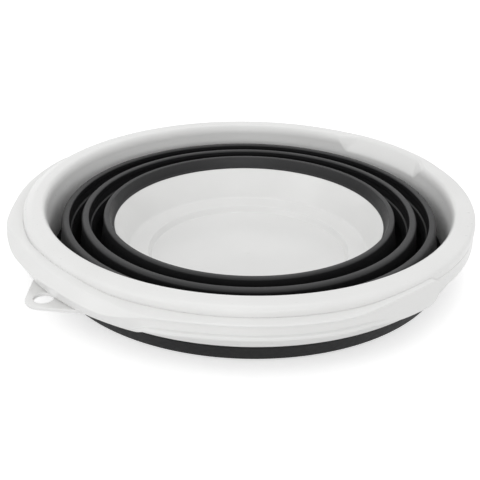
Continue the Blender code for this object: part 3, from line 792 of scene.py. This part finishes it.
@dataclass(frozen=True)
class FoldingWall:
    """The black rubber wall: its foot, three turning webs, two stiff rings and the cup's lap.

    The folds run from the outermost to the innermost. Each has its crest, and a valley outside
    it where the wall before it ends; walls holds that wall's thickness.
    """

    fits: Fits = FITS
    finish: Finish = TPR_FOLDS
    foot_finish: Finish = TPR_FOOT
    crests: tuple[float, ...] = (131.0, 117.2, 103.2)
    valleys: tuple[float, ...] = (139.85, 124.75, 111.05)
    walls: tuple[float, ...] = (2.7, 2.4, 2.4)
    crest_height: float = 36.2
    crest_radius: float = 2.2
    valley_height: float = 4.6
    ring_drop: float = 0.7
    relief: tuple[tuple[float, float, float], ...] = (
        (20.4, 0.0, 0.3), (21.2, 1.5, 0.35), (28.4, 0.9, 0.7), (29.2, 0.0, 0.4), (33.2, 0.0, 1.5))
    web_wall: float = 1.2
    web_reaches: tuple[float, ...] = (3.1, 3.1, 1.6)
    web_inset: float = 0.15
    foot_bottom: float = 1.9
    lap_height: float = 14.0
    cup_lap_bottom: float = 17.0
    crest_top_most: float = 0.5
    crest_top_band: Span = (0.4, 2.0)

    def foot(self) -> Object:
        """Builds the outermost wall, lapped round the rim's inner wall, with its rounded foot.

        Returns:
            The wall.
        """
        f = self.fits
        lap_top = f.wall_bottom + self.lap_height
        lap, under = f.inner_wall(lap_top) + f.wall, f.inner_wall(f.wall_bottom)
        valley, half = self.valleys[0], self.walls[0] / 2
        corners = [
            (lap, lap_top, 0.3), (lap + 1.8, lap_top, 0.6),
            (under + f.wall + 2.0, f.wall_bottom, 2.0), (valley + half, self.foot_bottom, 1.3),
            (valley - half - 0.5, self.foot_bottom, 1.3), (valley - half, self.valley_height + 2.0, 1.0),
            (under, f.wall_bottom, 0.25), (under + f.wall, f.wall_bottom, 0.2)]
        return turned("wall_foot", corners)

    def ring(self, name: str, fold: int) -> Object:
        """Builds a stiff ring from a crest down to the next valley.

        Args:
            name: Name of the piece.
            fold: Number of the fold, 0 for the outermost.

        Returns:
            The ring. Its faces are straight lines from the crest to the valley. On the inner
            one stands the low band that relief gives: height, stand and rounding.
        """
        crest, valley, wall = self.crests[fold], self.valleys[fold + 1], self.walls[fold + 1]
        half = wall / 2
        top = self.crest_height + self.crest_radius
        low = self.valley_height - half - self.ring_drop
        slope = (crest - valley) / (self.crest_height - self.valley_height)

        def inner(height: float) -> float:
            """Gives the radius of the ring's inner face at a height."""
            return valley - half + slope * (height - self.valley_height)

        bend = self.crest_height - 3.2
        corners = [
            (crest - self.crest_radius, top - 0.05, 2.0), (crest + 0.8, top - 0.6, 1.5),
            (crest + self.crest_radius, self.crest_height - 1.0, 1.0),
            (inner(bend) + wall, bend, 1.5), (valley + half, low, 1.0), (valley - half, low, 0.7),
            *((inner(height) - stand, height, turn) for height, stand, turn in self.relief),
            (crest - self.crest_radius, self.crest_height - 1.0, 1.4)]
        return turned(name, corners)

    def web(self, name: str, fold: int) -> Object:
        """Builds a turning web with the cap that rounds the crest it starts from.

        Args:
            name: Name of the piece.
            fold: Number of the fold, 0 for the outermost.

        Returns:
            The web, from its valley over the top of its crest. Its foot is let a little into
            the wall that it meets, so that no light passes between them.
        """
        wall, mid = self.web_wall, self.crest_height
        top = mid + self.crest_radius
        foot = self.valley_height - 1.0
        low = self.valleys[fold] - self.walls[fold] / 2 + self.web_inset
        high = self.crests[fold] + self.web_reaches[fold]
        inside = self.crests[fold] - self.crest_radius
        corners = [
            (low, foot, 0.15), (high + 0.2, mid - 5.0, 8.0), (high, top, 4.2), (inside, top, 2.1),
            (inside, mid, 0.1), (inside + 1.0, mid, 0.2), (high - wall, mid - 1.6, 1.0),
            (high - wall, mid - 5.0, 6.0), (low - wall, foot, 0.5)]
        return turned(name, self.dense(corners))

    @staticmethod
    def dense(corners: list) -> list:
        """Adds points along the long sides of a section, so that it can bend.

        Args:
            corners: (radius, height, rounding) of each corner.

        Returns:
            The corners, with even points less than 2.5 mm apart, and without a rounding, on
            each side that is longer than 8 mm.
        """
        made = []
        for first, second in zip(corners, corners[1:] + corners[:1]):
            length = math.dist(first[:2], second[:2])
            count = int(length // 2.5) if length > 8.0 else 0
            side = np.linspace(first[:2], second[:2], count + 1, endpoint=False)
            made += [first] + [(*point, 0.0) for point in side[1:]]
        return made

    def lap(self) -> Object:
        """Builds the innermost ring, from its crest to the lap round the base cup.

        Returns:
            The ring.
        """
        crest, seam = self.crests[-1], self.fits.seam_radius
        top = self.crest_height + self.crest_radius
        low, height = self.cup_lap_bottom, self.fits.seam_height + 0.1
        corners = [
            (crest + 0.6, top - 0.6, 1.2), (crest + 1.2, self.crest_height - 1.5, 1.0),
            (seam + 4.9, self.crest_height - 7.0, 3.0), (seam + 2.0, low, 0.8),
            (seam - 0.4, low, 0.4), (seam + 2.6, height, 0.2), (seam + 0.05, height, 0.2),
            (seam + 0.6, height + 0.7, 0.5), (seam + 1.6, height + 1.1, 0.5),
            (seam + 1.9, height + 2.0, 0.8), (crest - self.crest_radius - 0.4, top - 0.7, 2.4),
            (crest - self.crest_radius, top, 1.5)]
        return turned("cup_lap", corners)

    def build(self) -> list[Object]:
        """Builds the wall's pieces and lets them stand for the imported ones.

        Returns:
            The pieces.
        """
        material, foot_material = self.finish.material(), self.foot_finish.material()
        rigid = [
            (self.foot(), Body.RIM, "outer_wall"),
            (self.ring("outer_ring_band", 0), Body.OUTER_RING, "outer_band"),
            (self.ring("inner_ring_band", 1), Body.INNER_RING, "middle_band"),
            (self.lap(), Body.BASE, "inner_wall")]
        webs = [
            (self.web("outer_fold_web", 0), Body.OUTER_RING, Body.RIM, "outer_web"),
            (self.web("middle_fold_web", 1), Body.INNER_RING, Body.OUTER_RING, "middle_web"),
            (self.web("inner_fold_web", 2), Body.BASE, Body.INNER_RING, "inner_web")]
        for piece, body, solid in rigid:
            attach(piece, body.value)
            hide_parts(solid)
        for piece, near, far, solid in webs:
            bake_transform(piece)
            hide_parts(solid)
        pieces = [row[0] for row in rigid + webs]
        for piece in pieces:
            self.crest_top_mark(piece)
            piece.data.materials.append(foot_material if piece is pieces[0] else material)
        return pieces

    def crest_top_mark(self, piece: Object) -> None:
        """Marks the tops of the crests of a piece, for the material to read.

        Args:
            piece: The piece, whose mark eases up over a band of heights above the crests' middle.
        """
        low, high = self.crest_top_band
        points = np.empty(len(piece.data.vertices) * 3)
        piece.data.vertices.foreach_get("co", points)
        above = points[2::3] / MM - self.crest_height
        values = self.crest_top_most * smooth_step((above - low) / (high - low))
        mark = piece.data.attributes.new("crest_top_mark", "FLOAT", "POINT")
        mark.data.foreach_set("value", values.astype(np.float32))


@dataclass(frozen=True)
class BaseCup:
    """The white base cup: a low floor, a step round it, a shelf and the leaning side."""

    fits: Fits = FITS
    finish: Finish = PP_CUP
    wall: float = 2.5
    floor_top: float = 2.7
    floor_radius: float = 71.2
    step_radius: float = 73.8
    step_top: float = 7.2
    shelf_radius: float = 87.2
    shelf_top: float = 8.4
    side_foot_radius: float = 90.6
    side_foot: float = 15.6
    ring_inner: float = 73.0
    ring_outer: float = 78.0
    underside: float = 0.6
    gate_radius: float = 8.0
    hub_radius: float = 1.0

    def moulding(self) -> Object:
        """Turns the cup's section, which is open at the hub and closed there by flat fans.

        Returns:
            The cup. Its rows are (radius, height, rounding). The outer halves of the first
            and last arcs, which meet at the hub, are left out, so that one fan closes the
            floor and the other the gate pad.
        """
        f = self.fits
        table = np.array([
            (self.hub_radius, self.floor_top, 0.0), (self.floor_radius, self.floor_top, 1.0),
            (self.step_radius, self.step_top, 0.9), (self.shelf_radius, self.shelf_top, 3.2),
            (self.side_foot_radius, self.side_foot, 14.0), (f.seam_radius, f.seam_height, 0.5),
            (f.seam_radius + self.wall, f.seam_height, 0.5),
            (self.side_foot_radius - 0.4 + self.wall, self.side_foot - 1.4, 8.0),
            (self.shelf_radius + 2.2, self.shelf_top - 3.2, 5.0), (self.ring_outer + 2.0, 2.2, 1.0),
            (self.ring_outer, 0.0, 0.8), (self.ring_inner, 0.0, 0.8),
            (self.ring_inner - 1.0, self.underside, 0.4), (self.gate_radius + 0.6, self.underside, 0.3),
            (self.gate_radius, 0.0, 0.3), (self.hub_radius, 0.0, 0.0)])
        outline = rounded(table[None, :, :2], table[:, 2], 9)[0][5:-5]
        azimuth = np.linspace(0.0, 360.0, 256, endpoint=False)[None, :]
        grid = place(outline[:, :1], 0.0, outline[:, 1:], azimuth)
        return from_grid("base_cup_moulding", grid, wrap_rows=False)

    def build(self) -> list[Object]:
        """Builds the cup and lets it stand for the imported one.

        Returns:
            The cup, as the only piece.
        """
        cup = self.moulding()
        cup.data.materials.append(self.finish.material())
        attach(cup, Body.BASE.value)
        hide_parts("base_cup")
        return [cup]


@dataclass(frozen=True)
class SoftBox:
    """A soft lamp that faces the bucket, in metres and watts."""

    name: str
    place: tuple[float, float, float]
    size: Span
    power: float

    def build(self) -> None:
        """Adds the lamp to the scene, turned to face the middle of the bucket's foot."""
        data = bpy.data.lights.new(self.name, "AREA")
        data.shape = "RECTANGLE"
        data.size, data.size_y = self.size
        data.energy = self.power
        lamp = bpy.data.objects.new(self.name, data)
        lamp.location = self.place
        lamp.rotation_euler = (-Vector(self.place)).to_track_quat("-Z", "Y").to_euler()
        bpy.context.scene.collection.objects.link(lamp)


@dataclass(frozen=True)
class Studio:
    """A pale paper floor, a white surround and soft lamps.

    The glow is what the floor adds where it is seen, so that it shows white, and ambient is the
    surround's strength where it lights, with 1 for white. The floor lies the drop, in
    millimetres, below the bucket's foot.
    """

    paper: str = "E6E6E6"
    glow: float = 0.56
    ambient: float = 0.74
    drop: float = 0.2
    lamps: tuple[SoftBox, ...] = (
        SoftBox("overhead_softbox", (0.0, 0.25, 1.6), (0.8, 0.8), 3.6),
        SoftBox("front_softbox", (0.2, -1.7, 0.5), (1.6, 0.5), 5.1),
        SoftBox("left_softbox", (-1.2, -0.9, 0.9), (0.9, 0.9), 2.7),
        SoftBox("back_softbox", (-0.75, 1.5, 0.4), (0.3, 0.3), 0.4))

    @staticmethod
    def seen(tree: NodeTree) -> NodeSocket:
        """Adds the switch for what the camera, a reflection or a clear piece sees.

        Args:
            tree: The node tree.

        Returns:
            A socket that is 1 on those rays and 0 on rays that only light.
        """
        path = node(tree, "ShaderNodeLightPath")
        shown = path.outputs["Is Camera Ray"]
        for ray in ("Is Glossy Ray", "Is Transmission Ray"):
            most = node(tree, "ShaderNodeMath", {0: shown, 1: path.outputs[ray]}, operation="MAXIMUM")
            shown = most.outputs[0]
        return shown

    def floor(self) -> Object:
        """Builds the floor, white to the camera and in reflections, with the shadow kept.

        Returns:
            The floor: a disc of 12 m radius in rings round its middle, 50 mm deep.
        """
        reach = np.array([300.0, 1000.0, 4000.0, 12000.0, 12000.0])[:, None]
        height = -np.array([self.drop] * 4 + [50.0])[:, None]
        grid = place(reach, 0.0, height, np.linspace(0.0, 360.0, 96, endpoint=False))
        floor = from_grid("studio_floor", grid, wrap_rows=False)
        # Matt background paper: an even, dull white without a highlight.
        material = bpy.data.materials.new("floor_paper")
        material.use_nodes = True
        tree = material.node_tree
        tree.nodes.clear()
        paper = node(tree, "ShaderNodeBsdfDiffuse", {"Color": linear(self.paper)})
        glow = node(tree, "ShaderNodeEmission", {"Color": linear("FFFFFF"), "Strength": self.glow})
        both = node(tree, "ShaderNodeAddShader", {0: paper.outputs[0], 1: glow.outputs[0]})
        mix = node(tree, "ShaderNodeMixShader", {
            0: self.seen(tree), 1: paper.outputs[0], 2: both.outputs[0]})
        node(tree, "ShaderNodeOutputMaterial", {"Surface": mix.outputs[0]})
        floor.data.materials.append(material)
        return floor

    def surround(self) -> None:
        """Sets the world: white where it is seen, softer where it lights."""
        world = bpy.data.worlds.new("studio_surround")
        bpy.context.scene.world = world
        world.use_nodes = True
        tree = world.node_tree
        tree.nodes.clear()
        level = node(tree, "ShaderNodeMapRange", {
            "Value": self.seen(tree), "To Min": self.ambient, "To Max": 1.0})
        light = node(tree, "ShaderNodeBackground", {
            "Color": linear("FFFFFF"), "Strength": level.outputs["Result"]})
        node(tree, "ShaderNodeOutputWorld", {"Surface": light.outputs[0]})

    def build(self) -> list[Object]:
        """Builds the floor, the surround and the lamps, and sets the view transform.

        Returns:
            The floor, as the only mesh.
        """
        floor = self.floor()
        self.surround()
        for lamp in self.lamps:
            lamp.build()
        bpy.context.scene.view_settings.view_transform = "Standard"
        return [floor]


@dataclass(frozen=True)
class PhotoCamera:
    """The camera at the photograph's place, in metres and radians, with a lens in millimetres.

    Pitch looks down from level, yaw to the right of +Y, and roll turns the camera
    counter-clockwise about its line of sight.
    """

    place: tuple[float, float, float] = (-0.0012428, -0.6452003, 0.3355724)
    pitch: float = 0.4636077
    yaw: float = -0.0077779
    roll: float = 0.0160
    lens: float = 73.43
    sensor: float = 36.0

    def build(self) -> None:
        """Builds the camera and makes it the scene's.

        Its level right and its up are at right angles to the line of sight, and both are turned
        about it by the roll.
        """
        ahead = Vector((
            math.sin(self.yaw) * math.cos(self.pitch), math.cos(self.yaw) * math.cos(self.pitch),
            -math.sin(self.pitch)))
        right = ahead.cross(Vector((0.0, 0.0, 1.0))).normalized()
        up = right.cross(ahead)
        turned_right = right * math.cos(self.roll) + up * math.sin(self.roll)
        turned_up = up * math.cos(self.roll) - right * math.sin(self.roll)
        data = bpy.data.cameras.new("photo_camera")
        data.sensor_width = self.sensor
        data.lens = self.lens
        camera = bpy.data.objects.new("photo_camera", data)
        turn = Matrix((turned_right, turned_up, -ahead)).transposed()
        camera.matrix_world = Matrix.Translation(self.place) @ turn.to_4x4()
        bpy.context.scene.collection.objects.link(camera)
        bpy.context.scene.camera = camera


def main() -> None:
    """Builds the camera, the mouldings and the studio in order, and reports each piece."""
    logging.basicConfig(level=logging.INFO)
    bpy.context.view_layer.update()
    PhotoCamera().build()
    for part in (Rim(), Handle(), FoldingWall(), BaseCup(), Studio()):
        for piece in part.build():
            LOG.info("%s: %d faces", piece.name, len(piece.data.polygons))


if __name__ == "__main__":
    main()
